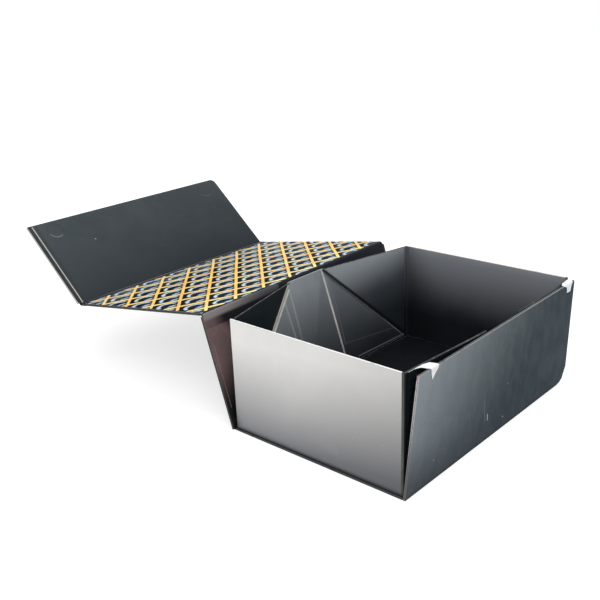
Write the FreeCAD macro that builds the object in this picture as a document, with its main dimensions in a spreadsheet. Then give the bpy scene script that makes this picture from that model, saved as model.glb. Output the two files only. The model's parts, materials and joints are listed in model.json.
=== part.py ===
import FreeCAD, Part

# Collapsible gift box: a case of five covered boards (front, base, back, lid and closure flap)
# joined in a row by paper folds, and a tray of end walls, ears and gussets that stands on the base.
#
# Row frame, in millimetres: X runs along the folds, the front faces -Y, +Z is up. The origin is the
# middle of the base's underside. The box stands open: the back leans out, the lid and its flap are
# thrown back, and the front leans out a little from the ears that it will be stuck to.

import math
import os
import re

import Sketcher

# Driving sizes in millimetres and angles in degrees: alias, value.
SIZES = [
    # case boards
    ("case_length", 255.0),
    ("board", 2.0),
    ("lining", 0.2),
    ("lining_margin", 1.0),
    ("lid_reach", 6.0),
    ("flap_drop", 2.6),
    ("flap_corner_radius", 2.5),
    ("back_groove", 2.4),
    ("flap_groove", 4.0),
    ("fold_paper", 0.25),
    ("paste", 0.02),
    ("fold_paper_width", 9.0),
    ("front_drop", 0.3),
    ("front_gap", 0.5),
    ("left_taper", 5.8),
    ("right_taper", 7.5),
    ("front_corner_radius", 11.0),
    ("base_corner_radius", 8.0),
    # how the box stands open
    ("back_lean", 16.8),
    ("front_lean", 4.2),
    ("lid_slope", 9.6),
    ("flap_bend", 51.1),
    # tray
    ("tray_depth", 174.0),
    ("wall_height", 102.0),
    ("lid_gap", 0.4),
    ("tray_board", 1.5),
    ("case_overhang", 2.5),
    ("ear_length", 100.0),
    ("ear_setback", 0.4),
    ("ear_return", 3.0),
    ("ear_fold_radius", 2.4),
    ("slack", 0.3),
    # gussets and the panels that they fold against
    ("fold_card", 1.2),
    ("gusset_span", 100.0),
    ("crease_drop", 0.0),
    ("crease_gap", 0.8),
    ("crease_width", 0.6),
    ("layer_gap", 0.6),
    ("hinge_gap", 0.9),
    # closure magnets and the plates that they meet
    ("magnet_diameter", 15.0),
    ("magnet_thickness", 1.5),
    ("magnet_from_middle", 103.0),
    ("magnet_from_fold", 88.2),
    ("plate_thickness", 1.0),
    ("pocket_slack", 0.1),
    # double-sided tape on the ears' outer faces, and the free tabs of its release liner
    ("tape_width", 16.0),
    ("tape_inset", 1.0),
    ("tape_thickness", 0.25),
    ("tab_width", 11.0),
    ("tab_paper", 0.15),
    ("left_tab_from_middle", 107.0),
    ("right_tab_from_middle", 109.0),
    ("tab_drop", 9.0),
    ("tab_tuck", 6.0),
]

doc = FreeCAD.newDocument("gift_box")
sheet = doc.addObject("Spreadsheet::Sheet", "sizes")
for row, (alias, value) in enumerate(SIZES, start=1):
    sheet.set(f"A{row}", str(value))
    sheet.setAlias(f"A{row}", alias)
doc.recompute()

ALIAS = re.compile(r"\b(" + "|".join(alias for alias, _ in SIZES) + r")\b")


def bind(text):
    """An expression on the sheet's cells, from one written with the bare aliases."""
    return ALIAS.sub(r"sizes.\1", str(text))


# Lengths worked out from the driving sizes. X_... is measured from the middle plane, Y_... from the
# tray's centre, and V_... up a leaning board from the fold at its foot.
X_CASE = "(case_length / 2)"
X_TRAY = "(case_length / 2 - case_overhang)"
X_INSIDE = f"({X_TRAY} - tray_board)"
X_GUSSET_HINGE = f"({X_INSIDE} - hinge_gap)"
X_CREASE = f"({X_GUSSET_HINGE} - gusset_span)"
Y_FOLD = "(tray_depth / 2 + board)"
Y_FRONT_FOLD = "(tray_depth / 2 + board + front_gap)"
Y_EAR = "(tray_depth / 2 - ear_setback)"
Y_GUSSET = "(tray_depth / 2 - 1.5 * fold_card - layer_gap)"
V_LID_FOLD = "(wall_height + lid_gap + lining + board / 2)"
V_CREASE_TOP = "(wall_height - crease_drop)"
V_LAYER_FOOT = "(board + 2 * slack)"
FRONT_HEIGHT = "(wall_height - front_drop)"
LID_LENGTH = "(tray_depth + lid_reach)"
FLAP_LENGTH = f"({V_LID_FOLD} - flap_drop)"

# Where the gusset's tip meets the top of the back's crease while the back leans out.
Y_TIP = (
    f"({Y_FOLD} - (board + fold_card) * cos(back_lean) + {V_CREASE_TOP} * sin(back_lean)"
    " - crease_gap - fold_card / 2)"
)
Z_TIP = f"({V_CREASE_TOP} * cos(back_lean) + (board + fold_card) * sin(back_lean))"
GUSSET_SWING = f"atan(({Y_TIP} - {Y_GUSSET}) / gusset_span)"
GUSSET_REACH = f"hypot(gusset_span; {Y_TIP} - {Y_GUSSET})"

# Fold lines of the lid and the flap, as the box stands open.
Y_LID_FOLD = f"({Y_FOLD} + {V_LID_FOLD} * sin(back_lean) - board / 2 * cos(back_lean))"
Z_LID_FOLD = f"({V_LID_FOLD} * cos(back_lean) + board / 2 * sin(back_lean))"
Y_FLAP_FOLD = f"({Y_LID_FOLD} + {LID_LENGTH} * cos(lid_slope))"
Z_FLAP_FOLD = f"({Z_LID_FOLD} - {LID_LENGTH} * sin(lid_slope))"

# A frame is the fold that a board turns about: the axis, the angle and the place of its origin.
# Local Y runs up or out along the board, and local Z through it.
TRAY = ("Z", "0", "0", "0", "0")
BACK = ("X", "90 - back_lean", "0", Y_FOLD, "0")
FRONT = ("X", "90 + front_lean", "0", f"-{Y_FRONT_FOLD}", "0")
LID = ("X", "-lid_slope", "0", Y_LID_FOLD, Z_LID_FOLD)
FLAP = ("X", "flap_bend - lid_slope", "0", Y_FLAP_FOLD, Z_FLAP_FOLD)

SIDES = {"left": -1, "right": 1}


def gusset_frame(side):
    """The upright fold between an end wall and its gusset."""
    return ("Z", f"{-side} * {GUSSET_SWING}", f"{side} * {X_GUSSET_HINGE}", Y_GUSSET, "0")


def place(body, frame):
    """Stands a body on its frame, with every part of the placement bound to the sheet."""
    axis, angle, *origin = frame
    body.Placement.Rotation = FreeCAD.Rotation(FreeCAD.Vector(axis == "X", 0, axis == "Z"), 1)
    body.setExpression("Placement.Rotation.Angle", bind(angle))
    for letter, distance in zip("xyz", origin):
        body.setExpression(f"Placement.Base.{letter}", bind(distance))


def new_sketch(body, name, role, level):
    """A sketch on one of the body's own origin planes, raised along its normal to a level."""
    sketch = body.newObject("Sketcher::SketchObject", name)
    plane = next(f for f in body.Origin.OriginFeatures if f.Role == role)
    sketch.AttachmentSupport = [(plane, "")]
    sketch.MapMode = "FlatFace"
    sketch.setExpression("AttachmentOffset.Base.z", bind(level))
    return sketch


def pin(sketch, kind, name, value, target, *geometry):
    """A named dimension of the sketch, bound to the sheet."""
    index = sketch.addConstraint(Sketcher.Constraint(kind, *geometry, value))
    sketch.renameConstraint(index, name)
    sketch.setExpression(f"Constraints.{name}", bind(target))


def draw_outline(sketch, corners):
    """A closed outline of straight cuts, each corner at a pair of expressions."""
    count = len(corners)
    turns = [2 * math.pi * (index + 0.5) / count for index in range(count)]
    start = [FreeCAD.Vector(10 * math.cos(turn), 10 * math.sin(turn), 0) for turn in turns]
    for index in range(count):
        sketch.addGeometry(Part.LineSegment(start[index], start[(index + 1) % count]), False)
    for index in range(count):
        sketch.addConstraint(Sketcher.Constraint("Coincident", index, 2, (index + 1) % count, 1))
    for index, (across, up) in enumerate(corners):
        pin(sketch, "DistanceX", f"across_{index}", start[index].x, across, -1, 1, index, 1)
        pin(sketch, "DistanceY", f"up_{index}", start[index].y, up, -1, 1, index, 1)


def draw_circles(sketch, radius, centres):
    """Equal circles at pairs of expressions."""
    for index, (across, up) in enumerate(centres):
        centre = FreeCAD.Vector(10 * index, 5, 0)
        sketch.addGeometry(Part.Circle(centre, FreeCAD.Vector(0, 0, 1), 2), False)
        pin(sketch, "Radius", f"radius_{index}", 2, radius, index)
        pin(sketch, "DistanceX", f"across_{index}", centre.x, across, -1, 1, index, 3)
        pin(sketch, "DistanceY", f"up_{index}", centre.y, up, -1, 1, index, 3)


def new_body(name, frame):
    """An empty body, named as its file is, on its frame."""
    body = doc.addObject("PartDesign::Body", name)
    body.Label = name
    place(body, frame)
    return body


def pad(body, sketch, thickness):
    """Raises the sketch by a thickness along its normal."""
    feature = body.newObject("PartDesign::Pad", "thickness")
    feature.Profile = sketch
    feature.setExpression("Length", bind(thickness))
    doc.recompute()
    return feature


def cut_sheet(name, frame, corners, level, thickness, role="XY_Plane"):
    """A flat piece: its outline on a plane of its frame, from a level up by its thickness."""
    body = new_body(name, frame)
    sketch = new_sketch(body, "outline", role, level)
    draw_outline(sketch, corners)
    pad(body, sketch, thickness)
    return body


def rectangle(half_length, low, high):
    """Outline of a piece that is centred on the middle plane."""
    return [(f"-{half_length}", low), (half_length, low), (half_length, high), (f"-{half_length}", high)]


def disc(name, frame, side, from_fold, level, thickness):
    """A round plate with its axis through the board."""
    body = new_body(name, frame)
    sketch = new_sketch(body, "rim", "XY_Plane", level)
    draw_circles(sketch, "magnet_diameter / 2", [(f"{side} * magnet_from_middle", from_fold)])
    pad(body, sketch, thickness)
    return body


def sink_pockets(body, from_fold, level, depth, down):
    """Blind round pockets for the pair of plates, from a face at a level into the board."""
    before = body.Shape.Volume
    sketch = new_sketch(body, "pocket_rims", "XY_Plane", level)
    centres = [(f"{side} * magnet_from_middle", from_fold) for side in SIDES.values()]
    draw_circles(sketch, "magnet_diameter / 2 + pocket_slack", centres)
    pocket = body.newObject("PartDesign::Pocket", "pockets")
    pocket.Profile = sketch
    pocket.Reversed = not down
    pocket.setExpression("Length", bind(depth))
    doc.recompute()
    if not body.Shape.Volume < before:
        raise RuntimeError(f"the pockets of {body.Label} cut nothing")


def round_corners(body, name, radius, wanted):
    """Rounds the edges square to the outline whose place in the outline satisfies a test."""
    tip = body.Tip
    edges = []
    for index, edge in enumerate(tip.Shape.Edges, start=1):
        first, last = edge.Vertexes[0].Point, edge.Vertexes[-1].Point
        if near(first.x, last.x) and near(first.y, last.y) and wanted(first.x, first.y):
            edges.append(f"Edge{index}")
    fillet = body.newObject("PartDesign::Fillet", name)
    fillet.Base = (tip, edges)
    fillet.setExpression("Radius", bind(radius))
    doc.recompute()


def size(alias):
    """A driving size as a plain number."""
    return float(sheet.get(alias))


def x_end():
    """The right-hand end of the case boards."""
    return size("case_length") / 2


def near(first, second):
    return abs(first - second) < 0.01


def make_tray():
    """The base with the floor on it, and the end walls with their taped ears, standing still."""
    y_base_front = "(tray_depth / 2 + front_gap - slack)"
    y_base_back = "(tray_depth / 2 - slack)"
    y_floor_front = f"(-{Y_EAR} + tray_board + slack)"
    y_floor_back = f"({Y_GUSSET} - fold_card / 2 - slack)"
    outline = rectangle(X_CASE, f"-{y_base_front}", y_base_back)
    base = cut_sheet("base_panel", TRAY, outline, "0", "board")
    round_corners(
        base, "soft_corner", "base_corner_radius", lambda x, y: near(x, x_end()) and y < 0
    )
    cut_sheet(
        "floor_panel",
        TRAY,
        rectangle(f"({X_INSIDE} - slack)", y_floor_front, y_floor_back),
        "board",
        "board",
    )
    for name, side in SIDES.items():
        make_end_wall(name, side)
        make_front_ear(name, side)
        make_tape(name, side)


def make_end_wall(name, side):
    """An upright wall on the end of the base, from the ear's fold to the back."""
    front = f"(-{Y_EAR} + ear_return)"
    back = "(tray_depth / 2 - slack)"
    corners = [(front, "board"), (back, "board"), (back, "wall_height"), (front, "wall_height")]
    outer = f"-{X_TRAY}" if side < 0 else X_INSIDE
    cut_sheet(f"{name}_end_wall", TRAY, corners, outer, "tray_board", "YZ_Plane")


def make_front_ear(name, side):
    """The end wall's ear: it turns the front corner and lies along the front panel."""
    end = f"{side} * ({X_TRAY} - ear_length)"
    corners = [
        (f"{side} * {X_TRAY}", f"-{Y_EAR} + ear_return"),
        (f"{side} * {X_TRAY}", f"-{Y_EAR}"),
        (end, f"-{Y_EAR}"),
        (end, f"-{Y_EAR} + tray_board"),
        (f"{side} * {X_INSIDE}", f"-{Y_EAR} + tray_board"),
        (f"{side} * {X_INSIDE}", f"-{Y_EAR} + ear_return"),
    ]
    body = cut_sheet(f"{name}_front_ear", TRAY, corners, "board", "wall_height - board")
    x_outer = size("case_length") / 2 - size("case_overhang")
    y_outer = -size("tray_depth") / 2 + size("ear_setback")
    thickness = size("tray_board")

    def on_outer_corner(x, y):
        return near(abs(x), x_outer) and near(y, y_outer)

    def on_inner_corner(x, y):
        return near(abs(x), x_outer - thickness) and near(y, y_outer + thickness)

    round_corners(body, "outer_fold", "ear_fold_radius", on_outer_corner)
    round_corners(body, "inner_fold", "ear_fold_radius - tray_board", on_inner_corner)


def make_back():
    """The back board, and the card that is pasted to it inside: two creased triangles and a centre."""
    top = f"({V_LID_FOLD} - back_groove / 2)"
    cut_sheet("back_panel", BACK, rectangle(X_CASE, "0", top), "0", "board")
    for name, side in SIDES.items():
        triangle = [
            (f"{side} * ({X_INSIDE} - slack)", V_LAYER_FOOT),
            (f"{side} * {X_CREASE}", V_LAYER_FOOT),
            (f"{side} * {X_CREASE}", V_CREASE_TOP),
        ]
        cut_sheet(f"{name}_back_triangle", BACK, triangle, "board", "fold_card")
    centre = rectangle(f"({X_CREASE} - crease_width)", V_LAYER_FOOT, V_CREASE_TOP)
    cut_sheet("back_centre_panel", BACK, centre, "board", "fold_card")


def make_gussets():
    """The triangles that join each end wall to the back's diagonal crease."""
    for name, side in SIDES.items():
        foot = f"({V_LAYER_FOOT} + slack)"
        corners = [
            ("0", foot),
            (f"{-side} * {GUSSET_REACH}", Z_TIP),
            ("0", "wall_height"),
        ]
        cut_sheet(
            f"{name}_gusset", gusset_frame(side), corners, "-fold_card / 2", "fold_card", "XZ_Plane"
        )


def make_lid():
    """The lid's board and the printed lining on its inner face."""
    start = "(back_groove / 2)"
    end = f"({LID_LENGTH} - flap_groove / 2)"
    cut_sheet("lid_panel", LID, rectangle(X_CASE, start, end), "-board / 2", "board")
    lining = rectangle(
        f"({X_CASE} - lining_margin)", f"({start} + lining_margin)", f"({end} - lining_margin)"
    )
    cut_sheet("lid_lining", LID, lining, "board / 2", "lining")


def make_flap():
    """The closure flap, its two magnets in blind pockets, and the plain lining that hides them."""
    start = "(flap_groove / 2)"
    outline = rectangle(X_CASE, start, FLAP_LENGTH)
    flap = cut_sheet("closure_flap", FLAP, outline, "-board / 2", "board")
    flap_start = size("flap_groove") / 2
    round_corners(
        flap, "round_corners", "flap_corner_radius", lambda x, y: not near(y, flap_start)
    )
    sink_pockets(flap, "magnet_from_fold", "board / 2", "magnet_thickness", down=True)
    for name, side in SIDES.items():
        level = "(board / 2 - magnet_thickness)"
        disc(f"{name}_flap_magnet", FLAP, side, "magnet_from_fold", level, "magnet_thickness")
    lining = rectangle(
        f"({X_CASE} - lining_margin)", f"({start} + lining_margin)", f"({FLAP_LENGTH} - lining_margin)"
    )
    cut_sheet("flap_lining", FLAP, lining, "board / 2", "lining")


def make_front():
    """The front board with its two steel plates, its lining and the tapes' free liner tabs."""
    top = FRONT_HEIGHT
    outline = [
        (f"-{X_CASE}", "0"),
        (X_CASE, "0"),
        (f"({X_CASE} - right_taper)", top),
        (f"-({X_CASE} - left_taper)", top),
    ]
    front = cut_sheet("front_panel", FRONT, outline, "-board", "board")
    round_corners(
        front, "soft_corner", "front_corner_radius", lambda x, y: near(x, x_end()) and near(y, 0)
    )
    plate_height = f"({V_LID_FOLD} - magnet_from_fold)"
    sink_pockets(front, plate_height, "-board", "plate_thickness", down=False)
    for name, side in SIDES.items():
        disc(f"{name}_front_plate", FRONT, side, plate_height, "-board", "plate_thickness")
    foot = "(front_corner_radius / 2)"
    lining = [
        (f"-({X_CASE} - 3 * lining_margin)", foot),
        (f"({X_CASE} - 3 * lining_margin)", foot),
        (f"({X_CASE} - right_taper - lining_margin)", f"({top} - lining_margin)"),
        (f"-({X_CASE} - left_taper - lining_margin)", f"({top} - lining_margin)"),
    ]
    cut_sheet("front_lining", FRONT, lining, "-board - lining", "lining")
    for name, side in SIDES.items():
        make_tab(name, side)


def make_tape(name, side):
    """Double-sided tape up the outer face of an ear, which the front is stuck to in the end."""
    outer = f"({X_TRAY} - ear_fold_radius - tape_inset)"
    inner = f"({outer} - tape_width)"
    low = "(3 * board)"
    high = "(wall_height - tape_inset)"
    corners = [
        (f"{side} * {outer}", low),
        (f"{side} * {outer}", high),
        (f"{side} * {inner}", high),
        (f"{side} * {inner}", low),
    ]
    cut_sheet(f"{name}_tape", TRAY, corners, Y_EAR, "tape_thickness", "XZ_Plane")


def make_tab(name, side):
    """The free end of a tape's release liner, folded over the front's top edge."""
    body = new_body(f"{name}_liner_tab", FRONT)
    level = f"{side} * {name}_tab_from_middle - tab_width / 2"
    sketch = new_sketch(body, "profile", "YZ_Plane", level)
    inside = "(-board - lining)"
    corners = [
        (f"({FRONT_HEIGHT} - tab_tuck)", inside),
        (FRONT_HEIGHT, inside),
        (FRONT_HEIGHT, "0"),
        (f"({FRONT_HEIGHT} - tab_drop)", "0"),
        (f"({FRONT_HEIGHT} - tab_drop)", "tab_paper"),
        (f"({FRONT_HEIGHT} + tab_paper)", "tab_paper"),
        (f"({FRONT_HEIGHT} + tab_paper)", f"({inside} - tab_paper)"),
        (f"({FRONT_HEIGHT} - tab_tuck)", f"({inside} - tab_paper)"),
    ]
    draw_outline(sketch, corners)
    pad(body, sketch, "tab_width")


def make_fold_paper(name, frame, fold, mid_plane, turn):
    """The cover paper that bridges two boards on the outside of their fold, bent as the fold is.

    The profile follows the outer face of the first board, the corner where both outer faces
    meet, and the outer face of the second board, and comes back a paper's thickness outside.
    """
    body = new_body(name, frame)
    half = "(-case_length / 2 + lining_margin)"
    sketch = new_sketch(body, "profile", "YZ_Plane", half)
    inner_y = f"({fold} + (board / 2 + paste) * tan({turn} / 2))"
    outer_y = f"({fold} + (board / 2 + paste + fold_paper) * tan({turn} / 2))"
    inner_z = f"({mid_plane} - board / 2 - paste)"
    outer_z = f"({inner_z} - fold_paper)"
    across = f"fold_paper_width * cos({turn})"
    down = f"fold_paper_width * sin({turn})"
    corners = [
        (f"{fold} - fold_paper_width", inner_z),
        (inner_y, inner_z),
        (f"{inner_y} + {across}", f"{inner_z} + {down}"),
        (f"{outer_y} + {across}", f"{outer_z} + {down}"),
        (outer_y, outer_z),
        (f"{fold} - fold_paper_width", outer_z),
    ]
    draw_outline(sketch, corners)
    pad(body, sketch, "case_length - 2 * lining_margin")


def check_document():
    """Stops if any object failed, or if a body is not one valid closed solid."""
    for item in doc.Objects:
        if "Invalid" in item.State or "Error" in item.State:
            raise RuntimeError(f"{item.Label} failed: {item.State}")
    for body in doc.findObjects("PartDesign::Body"):
        shape = body.Shape
        if shape.isNull() or not shape.isValid() or len(shape.Solids) != 1 or shape.Volume <= 0:
            raise RuntimeError(f"{body.Label} is not one valid solid")


def write_parts():
    """One STEP file for each body, named by its label."""
    os.makedirs("parts", exist_ok=True)
    for body in doc.findObjects("PartDesign::Body"):
        body.Shape.exportStep(os.path.join("parts", f"{body.Label}.step"))


make_tray()
make_back()
make_gussets()
make_lid()
make_flap()
make_front()
make_fold_paper("lid_fold_paper", BACK, V_LID_FOLD, "board / 2", "(back_lean - lid_slope - 90)")
make_fold_paper("flap_fold_paper", LID, LID_LENGTH, "0", "flap_bend")
doc.recompute()
check_document()
write_parts()
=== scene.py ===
from collections import namedtuple
import json
from math import cos, pi, radians, sin, sqrt, tan

import bpy
from mathutils import Matrix, Vector, noise


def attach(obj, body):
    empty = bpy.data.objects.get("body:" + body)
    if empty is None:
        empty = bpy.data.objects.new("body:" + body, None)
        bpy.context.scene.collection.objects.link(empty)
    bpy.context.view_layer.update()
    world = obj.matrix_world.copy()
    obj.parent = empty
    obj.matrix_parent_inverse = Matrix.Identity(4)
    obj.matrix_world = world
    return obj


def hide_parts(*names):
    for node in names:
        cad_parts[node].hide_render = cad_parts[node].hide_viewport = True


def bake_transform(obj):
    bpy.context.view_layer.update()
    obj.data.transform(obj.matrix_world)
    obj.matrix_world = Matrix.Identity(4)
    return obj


# Collapsible gift box, standing open: the tray's walls and ears, the leaning back with its creased
# card, the lid with its trellis lining, the closure flap, and the front board that leans from its ears.
# Lengths in this script are in millimetres, on the frame of each board; a mesh is written in metres.

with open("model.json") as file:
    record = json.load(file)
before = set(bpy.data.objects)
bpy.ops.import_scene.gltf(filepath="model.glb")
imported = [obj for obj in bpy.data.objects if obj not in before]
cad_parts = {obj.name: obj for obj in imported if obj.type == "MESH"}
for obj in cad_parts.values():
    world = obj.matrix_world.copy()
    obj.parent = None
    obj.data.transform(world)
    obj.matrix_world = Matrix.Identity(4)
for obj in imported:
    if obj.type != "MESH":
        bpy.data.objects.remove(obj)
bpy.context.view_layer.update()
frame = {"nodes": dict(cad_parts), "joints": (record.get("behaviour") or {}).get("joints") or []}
JOINTS = {joint["name"]: joint for joint in frame["joints"]}

MM = 0.001
ORIGIN = (0, 0, 0)
BACK_LEAN = JOINTS["back_fold"]["range_deg"][1]
FRONT_LEAN = -JOINTS["front_fold"]["range_deg"][0]
GUSSET_SWING = JOINTS["right_gusset_fold"]["range_deg"][1]
FLAP_BEND = -JOINTS["flap_fold"]["range_deg"][0]
LID_SLOPE = 9.6
SHARP = radians(50)     # an edge that turns more than this is drawn sharp
PLATE_PITCH, RIBBON_PITCH = 0.045, 0.06     # how fast the wander of their edges changes, per millimetre

CASE_END = 127.5        # half the length of the case boards
WALL_FACE = 125.0       # an end wall's outer face, from the middle
WALL_BOARD = 1.5
WALL_BACK = 86.6
WALL_TOP = 102.0
WALL_CORNER = 2.4       # radius of the corner between a wall and its ear
BOARD = 2.0
CARD = 1.2
EAR_FACE = -86.6        # the ears' outer face when they stand square
EAR_END = 25.0
LINING = 0.2
LID_LENGTH = 180.0
FLAP_LENGTH = 101.0
FRONT_HEIGHT = 101.7
BACK_TOP = 102.4
CARD_FOOT = 2.6
# The lid and the flap stand a little to the left of the back: their left and right ends.
LID_ENDS = (-128.9, 125.9)
FLAP_ENDS = (-131.2, 125.0)


# ---------------------------------------------------------------- where each board stands

def fold_point(joint):
    """The place of a fold, in millimetres."""
    return Vector(JOINTS[joint]["pos_m"]) / MM


def leaning(joint, degrees):
    """The frame of a board that turns about a fold along X: local Y runs up or out along the board."""
    return Matrix.Translation(fold_point(joint)) @ Matrix.Rotation(radians(degrees), 4, "X")


TRAY = Matrix.Identity(4)
BACK = leaning("back_fold", 90 - BACK_LEAN)
FRONT = leaning("front_fold", 90 + FRONT_LEAN)
LID = leaning("lid_fold", -LID_SLOPE)
FLAP = leaning("flap_fold", FLAP_BEND - LID_SLOPE)
SIDES = {"left": -1, "right": 1}


def gusset_frame(side):
    """An upright fold; local X runs from it along the gusset, Y up, and Z out of its inner face."""
    swing = Matrix.Rotation(radians(-SIDES[side] * GUSSET_SWING), 4, "Z")
    upright = Matrix.Rotation(radians(90), 4, "X")
    return Matrix.Translation(fold_point(f"{side}_gusset_fold")) @ swing @ upright


FRAMES = {"tray": TRAY, "back": BACK, "front": FRONT, "lid": LID, "flap": FLAP,
          "left_gusset": gusset_frame("left"), "right_gusset": gusset_frame("right")}


def section(body, along, through):
    """A point of a board's section, as (y, z) in the row frame."""
    place = FRAMES[body] @ Vector((0, along, through))
    return Vector((place.y, place.z))


# ---------------------------------------------------------------- drawing a piece

class Shell:
    """Points and faces of one piece while it is drawn.

    Each point keeps its place on the flat pattern, how much of an arris it is, and its depth
    through the board, from 0 at the inner face to 1 at the outer face.
    """

    def __init__(self):
        self.points, self.places, self.rims, self.depths = [], [], [], []
        self.faces, self.finishes, self.rounded = [], [], []

    def point(self, spot, place, rim=0.0, depth=0.0):
        self.points.append(Vector(spot))
        self.places.append(place)
        self.rims.append(rim)
        self.depths.append(depth)
        return len(self.points) - 1

    def face(self, corners, finish=0, rounded=True):
        self.faces.append(list(corners))
        self.finishes.append(finish)
        self.rounded.append(rounded)

    def band(self, first, second, finish=0, closed=True, rounded=True):
        """Quads between two rows of points, the second row below or after the first."""
        count = len(first)
        for i in range(count if closed else count - 1):
            j = (i + 1) % count
            self.face((first[i], second[i], second[j], first[j]), finish, rounded)

    def sheet(self, under, over, under_finish=0, rounded=False):
        """A thin sheet between two grids of points, closed round its border."""
        for j in range(len(under) - 1):
            self.band(under[j + 1], under[j], under_finish, closed=False)
            self.band(over[j], over[j + 1], closed=False)
        border = grid_border(len(under) - 1, len(under[0]) - 1)
        self.band([under[j][k] for j, k in border], [over[j][k] for j, k in border], rounded=rounded)

    def turn_inside_out(self):
        self.faces = [corners[::-1] for corners in self.faces]

    def build(self, name, finishes, board=TRAY):
        """The piece itself, at the origin, with its pattern as a UV map in metres."""
        mesh = bpy.data.meshes.new(name)
        mesh.from_pydata([tuple((board @ p) * MM) for p in self.points], [], self.faces)
        for finish in finishes:
            mesh.materials.append(FINISH[finish])
        for face, finish, rounded in zip(mesh.polygons, self.finishes, self.rounded):
            face.material_index = finish
            face.use_smooth = rounded
        lay_pattern(mesh, self.places)
        for label, values in (("rim", self.rims), ("depth", self.depths)):
            mesh.attributes.new(label, "FLOAT", "POINT").data.foreach_set("value", values)
        mesh.validate()
        mesh.update()
        mesh.set_sharp_from_angle(angle=SHARP)
        return add_object(name, mesh)


def add_object(name, data):
    made = bpy.data.objects.new(name, data)
    bpy.context.scene.collection.objects.link(made)
    return made


def lay_pattern(mesh, places):
    """The UV map that says where each point lies on the flat pattern."""
    pattern = mesh.uv_layers.get("pattern") or mesh.uv_layers.new(name="pattern")
    for loop in mesh.loops:
        place = places[loop.vertex_index]
        pattern.data[loop.index].uv = (place[0] * MM, place[1] * MM)


def grid_border(rows, columns):
    """The row and column of each point round a grid, anticlockwise from its first corner."""
    border = [(0, k) for k in range(columns)] + [(j, columns) for j in range(rows)]
    return border + [(rows, k) for k in range(columns, 0, -1)] + [(j, 0) for j in range(rows, 0, -1)]


def soft_outline(corners, radii=0.0, spacing=5.0):
    """A closed anticlockwise outline from its corners, each rounded, with points along the sides."""
    count = len(corners)
    radii = [radii] * count if isinstance(radii, (int, float)) else radii
    outline = []
    for i, (corner, radius) in enumerate(zip(corners, radii)):
        here = Vector(corner)
        back = (Vector(corners[i - 1]) - here).normalized()
        ahead = (Vector(corners[(i + 1) % count]) - here).normalized()
        if radius <= 0:
            outline.append(here)
            continue
        half = back.angle(ahead) / 2
        reach = radius / tan(half)
        centre = here + (back + ahead).normalized() * (radius / sin(half))
        first, last = here + back * reach - centre, here + ahead * reach - centre
        steps = max(3, int(radius * 1.2) + 2)
        for k in range(steps + 1):
            outline.append(centre + first.slerp(last, k / steps).normalized() * radius)
    filled = []
    for i, here in enumerate(outline):
        ahead = outline[(i + 1) % len(outline)]
        parts = max(1, int((ahead - here).length / spacing))
        filled += [here.lerp(ahead, k / parts) for k in range(parts)]
    return filled


def outward(loop):
    """The mitred outward direction at each point of a closed anticlockwise loop."""
    directions = []
    for i, here in enumerate(loop):
        before = (here - loop[i - 1]).normalized()
        after = (loop[(i + 1) % len(loop)] - here).normalized()
        first, second = Vector((before.y, -before.x)), Vector((after.y, -after.x))
        directions.append((first + second) / max(0.2, 1 + first.dot(second)))
    return directions


def rim_levels(under, over, radius, steps=4):
    """Inset, height, arris value and depth of each ring round a board's edge, from its inner face."""
    levels = []
    for centre, rise in ((over - radius, radius), (under + radius, -radius)):
        for k in range(steps + 1):
            share = 1 - k / steps if rise > 0 else k / steps
            turn = pi / 2 * share
            worn = 0.0 if share == 1 else 0.45 if share == 0 else 1.0
            z = centre + rise * sin(turn)
            levels.append((radius * (cos(turn) - 1), z, worn, (over - z) / (over - under)))
    return levels


def plate(name, body, corners, under, over, finishes, slot, *stands_for, radii=0.0, arris=0.4,
          wander=0.05, spacing=5.0):
    """A flat board, card or lining of a body, with rounded arrises. finishes: inner face, edge, outer."""
    shell = Shell()
    loop = soft_outline(corners, radii, spacing)
    directions = outward(loop)
    rings = []
    for inset, z, worn, depth in rim_levels(under, over, min(arris, (over - under) / 2)):
        ring = []
        for here, out in zip(loop, directions):
            stray = wander * noise.noise(Vector((here.x, here.y, 40 * over)) * PLATE_PITCH)
            spot = here + out * (inset + stray - wander)
            ring.append(shell.point((spot.x, spot.y, z), spot, worn, depth))
        rings.append(ring)
    shell.face(rings[0], 0, False)
    for first, second in zip(rings, rings[1:]):
        shell.band(first, second, 1)
    shell.face(rings[-1][::-1], 2, False)
    on_body(shell.build(name, finishes, FRAMES[body]), body, slot, *stands_for)


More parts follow.
